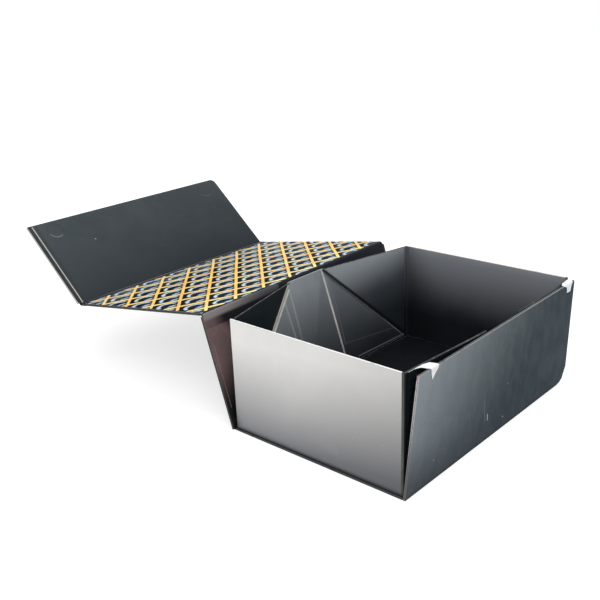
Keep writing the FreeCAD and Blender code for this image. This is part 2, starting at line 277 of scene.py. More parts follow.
def bowed_plate(name, board, left, right, low, high, under, over, finishes, warp, arris=0.4):
    """A board that isn't flat: a grid between its ends, bent by warp(x, y, z). Ends are x(y), low is y(u).

    It is drawn from its inner side, so its pattern is turned over to read from outside. finishes:
    inner face, edge, outer face, cut end.
    """
    shell = Shell()
    rows, columns, end_columns = 12, 46, 8
    shares = {round(k / columns, 5) for k in range(columns + 1)}
    shares = sorted(shares | {1 - 0.06 * (k / end_columns) ** 2 for k in range(end_columns + 1)})
    last = len(shares) - 1
    arris = min(arris, (over - under) / 2)

    def spot(u, share):
        foot, top = low(u) + arris, high(u) - arris
        y = foot + (top - foot) * share
        return Vector(((left(y) + arris) * (1 - u) + (right(y) - arris) * u, y))

    def drawn(place, z, worn, depth):
        return shell.point(warp(place.x, place.y, z), (-place.x, place.y), worn, depth)

    grid = [[spot(u, j / rows) for u in shares] for j in range(rows + 1)]
    border = grid_border(rows, last)
    loop = [grid[j][i] for j, i in border]
    directions = outward(loop)
    inner = [[drawn(place, over, 0.0, 0.0) for place in row] for row in grid]
    outer = [[drawn(place, under, 0.0, 1.0) for place in row] for row in grid]
    for j in range(rows):
        for i in range(last):
            shell.face((inner[j][i], inner[j][i + 1], inner[j + 1][i + 1], inner[j + 1][i]), 0)
            shell.face((outer[j][i], outer[j + 1][i], outer[j + 1][i + 1], outer[j][i + 1]), 2)
    rings = []
    for inset, z, worn, depth in rim_levels(under, over, arris):
        rings.append([drawn(here + out * (inset + arris), z, worn, depth)
                      for here, out in zip(loop, directions)])
    for first, second in zip(rings, rings[1:]):
        for i in range(len(border)):
            j = (i + 1) % len(border)
            cut = border[i][1] == border[j][1] == last
            shell.face((first[i], second[i], second[j], first[j]), 3 if cut else 1)
    return shell.build(name, finishes, board)


def eased(line, radius, steps=6):
    """An open line with each inner corner rounded."""
    drawn = [Vector(line[0])]
    for before, here, after in zip(line, line[1:], line[2:]):
        back, ahead = before - here, after - here
        reach = min(radius, 0.45 * back.length, 0.45 * ahead.length)
        start, end = here + back.normalized() * reach, here + ahead.normalized() * reach
        for k in range(steps + 1):
            t = k / steps
            drawn.append(start * (1 - t) ** 2 + here * 2 * t * (1 - t) + end * t * t)
    drawn.append(Vector(line[-1]))
    return drawn


def meeting(first, second, third, fourth):
    """Where the line through the first two points meets the line through the other two."""
    a, b = second - first, fourth - third
    cross = a.x * b.y - a.y * b.x
    share = ((third.x - first.x) * b.y - (third.y - first.y) * b.x) / cross
    return first + a * share


def ribbon(name, line, start, end, thickness, finishes, wander=0.0, columns=60, board=TRAY, end_place=None):
    """A thin paper bent along a section line of (y, z) points and run along X from start to end.

    Its pattern runs along the line, from 0 or up to end_place; wander is how uneven its long edges are.
    """
    shell = Shell()
    last = len(line) - 1
    lengths = [0.0]
    for first, second in zip(line, line[1:]):
        lengths.append(lengths[-1] + (second - first).length)
    if end_place is not None:
        lengths = [end_place - lengths[-1] + length for length in lengths]
    sideways = []
    for i in range(last + 1):
        along = (line[min(i + 1, last)] - line[max(i - 1, 0)]).normalized()
        sideways.append(Vector((-along.y, along.x)))
    outgoing = {0: line[1] - line[0], last: line[-1] - line[-2]}
    rows = {1: [], -1: []}
    for k in range(columns + 1):
        x = start + (end - start) * k / columns
        for face in rows:
            row = []
            for i, (here, side) in enumerate(zip(line, sideways)):
                spot = here + side * (face * thickness / 2)
                if wander and i in outgoing:
                    stray = wander * noise.noise(Vector((x * RIBBON_PITCH, i, 3.1)))
                    spot += outgoing[i].normalized() * stray
                row.append(shell.point((x, spot.x, spot.y), (x, lengths[i]), 0.0, 0.0 if face > 0 else 1.0))
            rows[face].append(row)
    shell.sheet(rows[-1], rows[1], under_finish=1)
    return shell.build(name, finishes, board)


# ---------------------------------------------------------------- wiring of finishes

def tint(red, green, blue):
    """A colour as it is seen, 0 to 255, turned to the light values that a shader takes."""
    def light(value):
        share = value / 255
        return share / 12.92 if share <= 0.04045 else ((share + 0.055) / 1.055) ** 2.4
    return (light(red), light(green), light(blue), 1.0)


class Value:
    """An output of a node. A sum written with it adds the nodes that work the sum out."""

    def __init__(self, wires, socket):
        self.wires, self.socket = wires, socket

    def __add__(self, other):
        return self.wires.math("ADD", self, other)

    def __sub__(self, other):
        return self.wires.math("SUBTRACT", self, other)

    def __rsub__(self, other):
        return self.wires.math("SUBTRACT", other, self)

    def __mul__(self, other):
        return self.wires.math("MULTIPLY", self, other)

    def __truediv__(self, other):
        return self.wires.math("DIVIDE", self, other)

    def __rtruediv__(self, other):
        return self.wires.math("DIVIDE", other, self)


class Wires:
    """Adds nodes to a tree. An input takes either a Value or a plain value."""

    def __init__(self, tree):
        self.tree = tree

    def feed(self, socket, value):
        if isinstance(value, Value):
            self.tree.links.new(value.socket, socket)
        else:
            socket.default_value = value

    def node(self, kind, inputs=None, **settings):
        made = self.tree.nodes.new(kind)
        for key, value in settings.items():
            setattr(made, key, value)
        for key, value in (inputs or {}).items():
            self.feed(made.inputs[key], value)
        return made

    def value(self, kind, inputs=None, out=0, **settings):
        """One output of a new node, by its number or its name."""
        return Value(self, self.node(kind, inputs, **settings).outputs[out])

    def math(self, operation, first, second=0.0, clamp=False):
        return self.value("ShaderNodeMath", {0: first, 1: second}, operation=operation, use_clamp=clamp)

    def vector(self, operation, first, second=None):
        """A vector sum; a dot product or a length gives a plain number."""
        inputs = {0: first}
        if second is not None:
            inputs["Scale" if operation == "SCALE" else 1] = second
        out = "Value" if operation in ("DOT_PRODUCT", "LENGTH") else "Vector"
        return self.value("ShaderNodeVectorMath", inputs, out, operation=operation)

    def combine(self, x, y, z):
        return self.value("ShaderNodeCombineXYZ", {0: x, 1: y, 2: z})

    def parts(self, place):
        return [Value(self, part) for part in self.node("ShaderNodeSeparateXYZ", {0: place}).outputs]

    def ramp(self, value, low, high, start=0.0, end=1.0, smooth=True):
        inputs = {"Value": value, "From Min": low, "From Max": high, "To Min": start, "To Max": end}
        kind = "SMOOTHSTEP" if smooth else "LINEAR"
        return self.value("ShaderNodeMapRange", inputs, interpolation_type=kind)

    def blend(self, share, *colours):
        """A mix of two colours; each is a Value, or red, green and blue from 0 to 255 as they are seen."""
        first, second = (colour if isinstance(colour, Value) else tint(*colour) for colour in colours)
        inputs = {0: share, 6: first, 7: second}
        return self.value("ShaderNodeMix", inputs, 2, data_type="RGBA", clamp_factor=True)

    def noise(self, place, scale, detail=3.0, roughness=0.55, distortion=0.0):
        inputs = {"Vector": place, "Scale": scale, "Detail": detail, "Roughness": roughness,
                  "Distortion": distortion}
        return self.value("ShaderNodeTexNoise", inputs, "Fac")

    def group(self, tree, **inputs):
        """The outputs of a node group, by name."""
        made = self.node("ShaderNodeGroup", inputs, node_tree=tree)
        return {out.name: Value(self, out) for out in made.outputs}

    def pattern(self):
        """The place on the flat pattern, in millimetres."""
        flat = self.value("ShaderNodeUVMap", out="UV", uv_map="pattern")
        return self.vector("SCALE", flat, 1 / MM)

    def body_place(self):
        """The place on the piece at rest, in millimetres."""
        return self.vector("SCALE", self.value("ShaderNodeTexCoord", out="Object"), 1 / MM)

    def mark(self, label):
        return self.value("ShaderNodeAttribute", out="Fac", attribute_name=label)


SOCKETS = {tuple: "NodeSocketVector", float: "NodeSocketFloat", int: "NodeSocketInt"}


def node_group(name, kind="Shader", gives="Float", materials=(), **starts):
    """Turns a drawing function into a node group.

    The starts are its inputs and their first values, and after them come its materials. The function
    returns the outputs by name.
    """
    def build(draw):
        tree = bpy.data.node_groups.new(name, f"{kind}NodeTree")
        for label, start in starts.items():
            socket = tree.interface.new_socket(label, in_out="INPUT", socket_type=SOCKETS[type(start)])
            socket.default_value = start
        for label in materials:
            tree.interface.new_socket(label, in_out="INPUT", socket_type="NodeSocketMaterial")
        w = Wires(tree)
        given = tree.nodes.new("NodeGroupInput").outputs
        drawn = draw(w, **{label: Value(w, given[label]) for label in (*starts, *materials)})
        for label in drawn:
            tree.interface.new_socket(label, in_out="OUTPUT", socket_type=f"NodeSocket{gives}")
        result = tree.nodes.new("NodeGroupOutput").inputs
        for label, value in drawn.items():
            w.feed(result[label], value)
        return tree
    return build


@node_group("Clouding", place=ORIGIN, size=40.0, stretch=1.0)
def clouding(w, place, size, stretch):
    """Slow mottling of laminated paper: a share from 0 to 1, with broad and finer patches."""
    place = w.vector("MULTIPLY", place, w.combine(1.0, stretch, 1.0))
    place = w.vector("SCALE", place, 1.0 / size)
    broad = w.noise(place, 1.0, 2.0, 0.5, 0.4)
    fine = w.noise(w.vector("ADD", place, (7.3, 2.1, 5.5)), 3.7, 4.0, 0.6, 0.6)
    return {"share": w.ramp(broad * 0.65 + fine * 0.35, 0.33, 0.67)}


@node_group("Laminate grain", place=ORIGIN)
def laminate_grain(w, place):
    """Height of a soft-touch laminate: a fine pebble over shallow waves left by the glue."""
    pebble = w.noise(place, 2.4, 2.0, 0.6)
    wave = w.noise(place, 0.09, 2.0, 0.5, 0.3)
    return {"height": wave + pebble * 0.12}


@node_group("Arris wear", place=ORIGIN, arris=0.0, amount=0.6)
def arris_wear(w, place, arris, amount):
    """Where an arris is worn: the arris value broken up along its length."""
    patch = w.noise(place, 0.16, 5.0, 0.65)
    low = 0.78 - amount * 0.6
    edge = w.ramp(arris, 0.3, 0.9)
    broken = edge * w.ramp(patch, low, low + 0.16)
    return {"share": w.math("MAXIMUM", broken, edge * (amount * 0.45))}


@node_group("Specks", place=ORIGIN, kept=0.4)
def dust(w, place, kept):
    """Sparse dust and nicks: small dots at random places, most cells empty."""
    spacing, size = 14.0, 0.35
    cells = w.node("ShaderNodeTexVoronoi", {"Vector": w.vector("SCALE", place, 1 / spacing), "Scale": 1.0},
                   voronoi_dimensions="2D").outputs
    lot = w.parts(Value(w, cells["Color"]))
    reach = (lot[1] + 0.4) * size
    dot = w.ramp(Value(w, cells["Distance"]) * spacing, reach * 0.55, reach, 1.0, 0.0)
    return {"share": dot * w.math("LESS_THAN", lot[0], kept)}


@node_group("Stroke", place=ORIGIN, start=ORIGIN, end=ORIGIN, width=1.0)
def soft_stroke(w, place, start, end, width):
    """A soft line between two places of the pattern, as a crease, a scratch and a pressed edge, and also as
    painted highlight and painted shadow.
    """
    ragged = 0.3
    flat = w.vector("MULTIPLY", place, (1, 1, 0))
    way = w.vector("SUBTRACT", end, start)
    local = w.vector("SUBTRACT", flat, start)
    covered, whole = w.vector("DOT_PRODUCT", local, way), w.vector("DOT_PRODUCT", way, way)
    along = w.math("DIVIDE", covered, whole, clamp=True)
    off = w.vector("SUBTRACT", local, w.vector("SCALE", way, along))
    distance = w.vector("LENGTH", off) + (w.noise(flat, 0.35, 4.0) - 0.5) * ragged
    half = width * 0.5
    return {"share": w.ramp(distance, half * 0.35, half, 1.0, 0.0)}


@node_group("Pressed ring", place=ORIGIN, centre=ORIGIN, radius=8.0)
def pressed_ring(w, place, centre, radius):
    """The round mark of a plate under a lining: a ring, a painted highlight on one side of it, and its
    height.
    """
    width, lit_side = 1.4, (-0.35, -0.94, 0)
    local = w.vector("MULTIPLY", w.vector("SUBTRACT", place, centre), (1, 1, 0))
    distance = w.vector("LENGTH", local)
    ring = w.ramp(w.math("ABSOLUTE", distance - radius), 0.0, width, 1.0, 0.0)
    faced = w.vector("DOT_PRODUCT", local, lit_side) / radius
    height = w.ramp(distance, radius - width, radius + width)
    return {"ring": ring, "wear_and_highlight": ring * w.ramp(faced, 0.35, 0.95), "height": height}


# What a drawing function gives: colour, height, the bump's strength and its rise in millimetres, and
# the roughness where that varies.
Look = namedtuple("Look", "colour height strength rise roughness", defaults=[None])


def emptied(owner):
    """Wires on the node tree of a material or a world, with its nodes cleared."""
    owner.use_nodes = True
    owner.node_tree.nodes.clear()
    return Wires(owner.node_tree)


FINISH = {}


def finish(name, draw, roughness=0.5, metallic=0.0, specular=0.28):
    """A material with the look that draw(wires) gives."""
    FINISH[name] = bpy.data.materials.new(name)
    w = emptied(FINISH[name])
    look = draw(w)
    bump = w.value("ShaderNodeBump", {"Height": look.height, "Strength": look.strength,
                                      "Distance": look.rise * MM})
    shader = w.value("ShaderNodeBsdfPrincipled", {
        "Base Color": look.colour, "Roughness": look.roughness or roughness,
        "Metallic": metallic, "Specular IOR Level": specular, "Normal": bump})
    w.node("ShaderNodeOutputMaterial", {"Surface": shader})


def laminate(dark, light, worn, size=45.0, stretch=1.0, wear=0.5, specks=0.25, gloss=(0.42, 0.6),
             sides=(1.0, 1.0), strokes=(), tones=(), slopes=(), drift=0.05, rings=(), outer=None):
    """A drawing function for laminated cover paper.

    dark, light and worn are its two tones and the colour of its wear; size and stretch are
    those of its mottling. sides: how much of the wear the inner and the outer arris take; strokes:
    (from, to, width, colour, strength); tones: (from, to, colour, strength), a slow change of colour
    across the pattern, and slopes the same at an even rate; drift: how far their limits wander;
    rings: (centre, radius, strength) of plates that show through, each a darker ring with a painted
    highlight on one side; outer: (colour, strength) of a line all along the outer arris, the paper's
    pale edge with a painted glint.
    """
    def draw(w):
        place = w.pattern()
        share = w.group(clouding, place=place, size=size, stretch=stretch)["share"]
        colour = w.blend(share, dark, light)
        changes = [(*tone, True) for tone in tones] + [(*slope, False) for slope in slopes]
        for start, end, tone, strength, smooth in changes:
            way = Vector(end) - Vector(start)
            local = w.vector("SUBTRACT", place, (*start, 0))
            along = w.vector("DOT_PRODUCT", local, tuple(way.to_3d() / way.length_squared))
            passed = w.ramp(along + (share - 0.5) * drift, 0.0, 1.0, smooth=smooth)
            colour = w.blend(passed * strength, colour, tone)
        height = w.group(laminate_grain, place=place)["height"]
        for centre, radius, strength in rings:
            mark = w.group(pressed_ring, place=place, centre=(*centre, 0), radius=radius)
            height = mark["height"] * 0.5 + height
            # Each plate darkens a ring, and lights one side of it with a painted highlight.
            colour = w.blend(mark["ring"] * (0.5 * strength), colour, (26, 30, 34))
            colour = w.blend(mark["wear_and_highlight"] * strength, colour, (128, 134, 138))
        for start, end, width, tone, strength in strokes:
            line = w.group(soft_stroke, place=place, start=(*start, 0), end=(*end, 0), width=width)["share"]
            colour = w.blend(line * strength, colour, tone)
        colour = w.blend(w.group(dust, place=place, kept=specks)["share"] * 0.5, colour, worn)
        wear_and_highlight = w.group(arris_wear, place=place, arris=w.mark("rim"), amount=wear)["share"]
        if sides != (1.0, 1.0):
            wear_and_highlight = wear_and_highlight * w.ramp(w.mark("depth"), 0.2, 0.8, *sides)
        colour = w.blend(wear_and_highlight, colour, worn)
        if outer:
            line_colour, strength = outer
            colour = w.blend(w.ramp(w.mark("depth"), 0.5, 0.64, 0.0, strength), colour, line_colour)
        return Look(colour, height, 0.25, 0.25, w.ramp(share, 0.0, 1.0, gloss[1], gloss[0]))
    return draw


def paper(name, dark, light, worn, size=45.0, metallic=0.0, specular=0.28, **details):
    """A material of laminated paper; the details are those of laminate."""
    finish(name, laminate(dark, light, worn, size, **details), metallic=metallic, specular=specular)


# ---------------------------------------------------------------- the trellis on the lid's lining

# A family of strands: where the first meets the lid's fold, the step to the next, and how far a
# strand moves along X for each millimetre up the lid.
RISING = {"first": -301.7, "step": 35.7, "lean": 0.965}
FALLING = {"first": -100.6, "step": 40.6, "lean": -1.3}
# The print's lower edge isn't quite square to the lid: its height at the two ends and in the middle,
# and its rise for each millimetre along X.
PRINT_LEFT, PRINT_RIGHT = 0.2, 2.8
PRINT_LOW = (PRINT_LEFT + PRINT_RIGHT) / 2
PRINT_SKEW = (PRINT_RIGHT - PRINT_LEFT) / (2 * CASE_END)


def trellis_print(w):
    """The lining's print under the strands: in each diamond, an arc brushed over an oval."""
    place = w.pattern()
    x, s, _ = w.parts(place)

    def from_middle(first, step, lean):
        """How far a place lies, along X, from midway between two strands of a family."""
        return (w.math("FRACT", (x - s * lean - first) / step) - 0.5) * step

    rising, falling = from_middle(**RISING), from_middle(**FALLING)
    up = (falling - rising) / (RISING["lean"] - FALLING["lean"])
    across = up * RISING["lean"] + rising - 1.6
    sway = (w.noise(place, 0.16, 3.0) - 0.5) * 2.6
    up = up + (sway + 1.4)

    def ellipse(centre, wide, tall):
        """1 on an ellipse of these half sizes, less inside it; centre is its height in the diamond."""
        flat, steep = across / wide, (up - centre) / tall
        return w.math("SQRT", flat * flat + steep * steep)

    brush = w.noise(w.vector("MULTIPLY", place, (0.22, 0.9, 1.0)), 1.0, 4.0, 0.7)
    dry = w.ramp(brush, 0.3, 0.52)
    off_line = w.math("ABSOLUTE", ellipse(-2.2, 9.4, 9.2) - 1.0)
    arc = w.ramp(off_line, 0.091, 0.26, 1.0, 0.0) * w.ramp(up, -2.0, 0.6)
    oval = w.ramp(ellipse(-6.6, 5.8, 2.6), 0.55, 1.15, 1.0, 0.0)
    painted = w.math("MAXIMUM", arc, oval * 0.7) * (dry * 0.3 + 0.7)
    haze = w.ramp(ellipse(-0.6, 7.4, 5.6), 0.35, 1.05, 0.6, 0.0)
    ground = w.blend(haze * dry, (5, 8, 11), (20, 32, 62))
    ink = w.blend(w.ramp(brush, 0.32, 0.56), (112, 146, 180), (208, 228, 242))
    colour = w.blend(painted, ground, ink)
    far_rows = w.ramp(s, 120.0, 172.0, 0.0, 0.32) * w.ramp(brush, 0.42, 0.6)
    colour = w.blend(far_rows, colour, (176, 190, 196))
    return Look(colour, painted * 0.25, 0.3, 0.15)


def fold_print(w):
    """The paper over the lid's fold: plain hinge paper up to the print's edge, then the trellis print."""
    printed = trellis_print(w).colour
    # The hinge paper's stroke is a painted highlight along the rounding of the fold.
    plain = laminate((30, 28, 31), (38, 34, 36), (120, 116, 114), 26, stretch=3.0, wear=0.0,
                     tones=[((-104, 0), (-121, 0), (104, 88, 88), 1.0)],
                     strokes=[((-132, -3.4), (-38, -2.0), 10.5, (136, 131, 131), 0.95)])(w)
    x, s, _ = w.parts(w.pattern())
    # Darker towards the right: painted shade.
    colour = w.blend(w.ramp(x, -112.0, -46.0, 0.0, 0.72), plain.colour, (30, 34, 42))
    above = s - (x * PRINT_SKEW + PRINT_LOW)
    colour = w.blend(w.ramp(above, -0.9, -0.5), colour, (12, 16, 22))
    colour = w.blend(w.ramp(above, -0.1, 0.3), colour, printed)
    return Look(colour, plain.height, 0.2, 0.2)


def strand_print(light, deep, tip, far):
    """Ink of a strand: it drifts between two tones along its length, and pales towards its two ends."""
    def draw(w):
        place = w.pattern()
        colour = w.blend(w.ramp(w.noise(place, 0.03, 3.0), 0.38, 0.62), light, deep)
        flecks = w.ramp(w.noise(place, 0.5, 3.0), 0.55, 0.75)
        colour = w.blend(flecks * 0.4, colour, (255, 240, 200))
        s = w.parts(place)[1]
        colour = w.blend(w.ramp(s, 20.0, 2.0), colour, tip)
        colour = w.blend(w.ramp(s, 110.0, 170.0, 0.0, 0.5), colour, far)
        return Look(colour, w.noise(place, 1.5, 3.0), 0.2, 0.1)
    return draw


def raw_edge(w):
    """The cut end of a wrapped board: pale layers, a brown core line and a trace of magenta ink."""
    place, depth = w.pattern(), w.mark("depth")
    up = w.parts(place)[1]
    uneven = (w.noise(place, 0.12, 4.0) - 0.5) * 0.24
    off_core = w.math("ABSOLUTE", depth + uneven - 0.52)
    colour = w.blend(w.ramp(w.noise(place, 0.5, 4.0), 0.3, 0.7), (158, 160, 164), (182, 183, 186))
    colour = w.blend(w.ramp(depth, 0.3, 0.22), colour, (236, 228, 229))
    colour = w.blend(w.ramp(off_core, 0.05, 0.13, 1.0, 0.0), colour, (96, 84, 80))
    ink = w.ramp(up, 84.0, 96.0) * w.ramp(w.noise(place, 0.3, 3.0), 0.5, 0.58)
    colour = w.blend(ink * w.ramp(depth, 0.35, 0.2), colour, (178, 44, 96))
    colour = w.blend(w.ramp(up, 88.0, 12.0, 0.0, 0.85), colour, (74, 76, 77))
    return Look(colour, w.noise(place, 1.2, 4.0), 0.4, 0.2)


def plain_paper(light, dark):
    """Glazed paper or tape in one tone, a little uneven."""
    def draw(w):
        place = w.pattern()
        colour = w.blend(w.group(clouding, place=place, size=12.0)["share"], light, dark)
        return Look(colour, w.noise(place, 2.2, 3.0), 0.15, 0.15)
    return draw


def plated(light, dark):
    """Nickel plating on a magnet or a steel plate, finely turned."""
    def draw(w):
        turned = w.noise(w.vector("MULTIPLY", w.body_place(), (0.3, 3.0, 3.0)), 1.0, 3.0)
        return Look(w.blend(turned, light, dark), turned, 0.1, 0.05)
    return draw


CREAM = (186, 180, 168)
PALE = (164, 165, 164)
SHADE = (20, 21, 25)
FAR_RING, NEAR_RING = (101.5, 88.2), (-104.5, 88.4)

paper("cover", (30, 37, 41), (40, 47, 52), PALE, 55, wear=0.35, specular=0.16)
# cover_edge: its line along the outer arris is the paper's pale edge with a painted glint.
paper("cover_edge", (13, 18, 30), (21, 27, 38), (176, 172, 166), 30, wear=0.8, sides=(0.2, 1.0),
      outer=((120, 118, 116), 0.35), specular=0.1)
# flap_edge: its outer line and its two strokes, along the far and the near arris, are the paper's pale edge
# with a painted glint.
paper("flap_edge", (18, 23, 29), (28, 34, 40), (168, 166, 170), 30, wear=1.0, sides=(0.1, 1.0),
      outer=((206, 202, 198), 0.9), specular=0.12, strokes=[
          ((-127, 100.6), (119, 100.6), 1.6, (168, 172, 182), 0.85),
          ((-131.2, -2), (-131.2, 103), 3.4, (196, 193, 188), 0.9)])
paper("turn_in", (30, 36, 40), (40, 46, 50), PALE, 30, wear=0.4, specular=0.16)
paper("front_edge", (26, 38, 45), (44, 54, 60), PALE, 30, wear=0.85, specular=0.12)
# front_cover: its first tone is a painted reflection, lighter towards the top of the left end; the second
# makes it lighter towards the foot.
paper("front_cover", (13, 38, 47), (16, 41, 50), PALE, 9, stretch=0.45, wear=0.8, specks=0.3,
      drift=0.018, gloss=(0.47, 0.54), specular=0.1, tones=[
          ((25, 9), (-190, 215), (176, 184, 190), 1.0), ((-2, 43), (-7, -13), (36, 45, 54), 0.8)],
      strokes=[
          ((-23, 41), (-18, 19), 0.9, (120, 128, 132), 0.5),
          ((-15, 25), (-14, 19), 0.9, (216, 220, 222), 0.9),
          ((12, 11), (12.6, 11), 1.2, (190, 196, 198), 0.8),
          ((-93, 19), (-92, 19), 1.4, (150, 158, 162), 0.7),
          ((15, 41), (15.6, 41), 1.0, (170, 178, 182), 0.7)])
# flap_lining: the flap's slate lining, darker towards its fold with the lid. Its rings are the magnets'
# marks, each with a painted highlight on one side; its stroke at -125.9 is a painted highlight along the
# lining's near edge, and the darker band at -122.6 lies inside it.
paper("flap_lining", (56, 63, 67), (61, 68, 72), CREAM, 60, wear=0.35, specks=0.03, drift=0.02,
      specular=0.12, tones=[((67, 141), (99, -112), (4, 8, 20), 1.0)],
      rings=[(NEAR_RING, 8.4, 0.5), (FAR_RING, 8.2, 0.16)], strokes=[
          ((-69.5, 66), (-69.0, 65.6), 1.1, (190, 192, 192), 0.8),
          ((-122.6, 0), (-122.6, 98), 4.6, (40, 46, 50), 0.55),
          ((-125.9, 0.8), (-125.9, 98.6), 1.5, (190, 186, 178), 0.9)])
# flap_fold: the paper over the flap's fold; its stroke is a light line along the crease, a painted highlight.
paper("flap_fold", (38, 43, 47), (46, 51, 55), CREAM, 40, wear=0.0, specular=0.12,
      strokes=[((-127, 7.4), (127, 5.2), 1.4, (128, 118, 113), 0.8)])
# lining_edge: the linings' cut edges, pale paper with a painted highlight.
paper("lining_edge", (120, 116, 108), (170, 164, 152), CREAM, 14, wear=0.9)
finish("lid_print", trellis_print, roughness=0.5, specular=0.02)
finish("fold_print", fold_print, roughness=0.42, specular=0.05)
finish("strand_over", strand_print((255, 216, 126), (248, 194, 104), (255, 238, 156), (252, 236, 196)),
       roughness=0.4, specular=0.1)
finish("strand_under", strand_print((255, 228, 148), (255, 206, 118), (255, 240, 160), (246, 208, 150)),
       roughness=0.42, specular=0.1)
# The walls' silver paper. Its two slopes are painted shade and reflection: darker towards the bottom, and
# darker again towards the foot of the wall's front end.
paper("pewter", (217, 216, 214), (224, 223, 220), (244, 244, 243), 70, metallic=0.5, specks=0.1,
      gloss=(0.38, 0.44), drift=0.02, strokes=[((84, 24), (108, 18), 13, (150, 150, 153), 0.16)],
      slopes=[((-11, 82), (-5, 0), (124, 125, 129), 1.0), ((51, 16), (316, -97), (4, 4, 6), 1.0)])
# pewter_corner and ear are darker copies of the walls' silver paper, painted shade: the corner strip where
# the paper turns to the ear, and the ears' outer faces in the narrow gap before the front board. The front
# board's inner lining, which faces that gap, is drawn in ear too.
paper("pewter_corner", (56, 57, 54), (72, 73, 68), (120, 121, 118), 20, wear=0.2, metallic=0.2)
paper("ear", (10, 15, 18), (17, 23, 27), PALE, 40, wear=0.3, specular=0.14)
paper("rim", (176, 176, 177), (208, 208, 209), (240, 240, 240), 20, wear=0.8)
paper("far_rim", (206, 201, 194), (230, 225, 218), (240, 236, 230), 20, wear=0.6)
# ear_rim and far_ear_rim: the ears' top rims, darker copies of the walls' rim, painted shade.
paper("ear_rim", (42, 44, 46), (64, 66, 68), (92, 94, 96), 18, specular=0.12)
paper("far_ear_rim", (26, 28, 31), (40, 42, 45), (96, 96, 96), 18, wear=0.4, specular=0.1)
# inside: the inner faces of the walls and ears. Its tones are painted shade, darker towards the floor and
# towards the back corner.
paper("inside", (142, 146, 152), (152, 156, 162), PALE, 60, wear=0.3, gloss=(0.36, 0.5), metallic=0.2,
      tones=[((0, 112), (0, 28), (29, 32, 37), 1.0), ((52, 60), (4, 40), (12, 14, 17), 0.6)])
paper("floor", (12, 15, 18), (19, 22, 26), PALE, 50, specular=0.12)
# back_lining: its tones are painted shade, darker towards the foot, and a painted shadow near the top behind
# the near gusset.
paper("back_lining", (106, 87, 87), (122, 101, 101), PALE, 40, wear=0.6,
      tones=[((0, 64), (0, 18), (10, 10, 13), 1.0), ((-113, 88), (-102, 96), (20, 18, 22), 1.0)],
      strokes=[((-124.8, 19), (-124.8, 76), 0.8, (150, 140, 136), 0.6)])
# card: the creased card on the back. Its tones are painted shade: the right triangle darker than the rest,
# and all of it darker towards the foot. Its last stroke is a painted highlight along the far diagonal edge.
paper("card", (125, 131, 136), (136, 142, 147), PALE, 50, gloss=(0.34, 0.48), metallic=0.2,
      tones=[((26, 0), (34, 0), (114, 120, 126), 0.9), ((0, 106), (0, -8), (30, 34, 39), 1.0)], strokes=[
          ((-121, 5.8), (20, 5.8), 1.6, (112, 114, 117), 0.5),
          ((45, 6.2), (122, 4.6), 1.7, (142, 144, 147), 0.7),
          ((32.4, 24), (113, 15), 2.0, (104, 107, 111), 0.35),
          ((33.4, 86), (31.3, 24), 2.2, (122, 125, 129), 0.4),
          ((-33.4, 89), (-31, 50), 3.0, (166, 169, 173), 0.45),
          ((-25, 54), (-24.5, 54.2), 1.5, (196, 198, 200), 0.8),
          ((120.6, 3.6), (26.9, 98.6), 1.6, (176, 179, 182), 0.6)])
paper("card_edge", (96, 98, 100), (140, 142, 142), (190, 190, 188), 12, wear=0.8)
# dark_card_edge: the gussets' edges, a darker copy of card_edge, painted shade.
paper("dark_card_edge", (40, 40, 42), (62, 60, 61), (110, 106, 106), 12, wear=0.6, specular=0.1)
# gusset_near: the gussets' card painted dark, shade, on the near gusset's inner face and on both outer faces.
# gusset_far: its tones are painted shade, darker towards the foot, and its stroke is a painted shadow along
# the slanting edge where the gusset stands off the card.
paper("gusset_near", (20, 29, 34), (30, 40, 45), PALE, 40, metallic=0.2)
paper("gusset_far", (160, 167, 172), (172, 179, 184), PALE, 50, gloss=(0.34, 0.48), metallic=0.2,
      tones=[((-60, 104), (-49, 57), (84, 90, 96), 1.0), ((-50, 82), (-40, 28), (40, 45, 51), 1.0)],
      strokes=[((-104.2, 99.2), (1.2, 4.2), 5.6, (16, 20, 24), 0.92)])
# crease: the centre crease; its tone is painted shade, darker towards the foot.
paper("crease", (192, 190, 184), (220, 217, 210), (238, 236, 230), 10, wear=0.8,
      tones=[((0, 60), (0, 0), (96, 98, 100), 0.75)])
# A white spot at the top of the centre crease.
paper("worn_spot", (236, 236, 238), (250, 250, 252), (255, 255, 255), 6)
# The near diagonal crease in cream: a painted highlight, where the crease faces the light.
paper("cream_crease", (196, 194, 186), (218, 216, 208), (232, 230, 222), 10, wear=0.6)
paper("soft_crease", (154, 158, 162), (164, 168, 172), PALE, 20, wear=0.0,
      tones=[((0, 106), (0, 0), SHADE, 1.0)])
# far_corner and dark_hinge: the corner papers. The right one darkens towards its foot and along its fold,
# painted shade; the left one is painted dark all over, shade.
paper("far_corner", (92, 97, 103), (102, 107, 113), PALE, 60, wear=0.0, gloss=(0.36, 0.5),
      tones=[((108, 0), (30, 0), SHADE, 1.0)], strokes=[((4, 3.3), (101, 3.3), 1.6, (24, 27, 31), 0.8)])
paper("dark_hinge", (22, 28, 32), (34, 40, 45), PALE, 24, wear=0.0)
finish("raw_edge", raw_edge, roughness=0.7)
finish("liner", plain_paper((246, 246, 247), (230, 231, 233)), roughness=0.35, specular=0.5)
finish("tape", plain_paper((22, 30, 34), (30, 38, 42)), roughness=0.22, specular=0.5)
finish("magnet", plated((176, 176, 180), (150, 150, 154)), roughness=0.3, metallic=1.0)
finish("steel", plated((160, 162, 164), (120, 122, 126)), roughness=0.38, metallic=1.0)


# ---------------------------------------------------------------- pieces

def rectangle(left, right, low, high):
    return [(left, low), (right, low), (right, high), (left, high)]


def described(stands_for):
    """The finished piece stands for CAD nodes, which are hidden."""
    if stands_for:
        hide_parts(*stands_for)


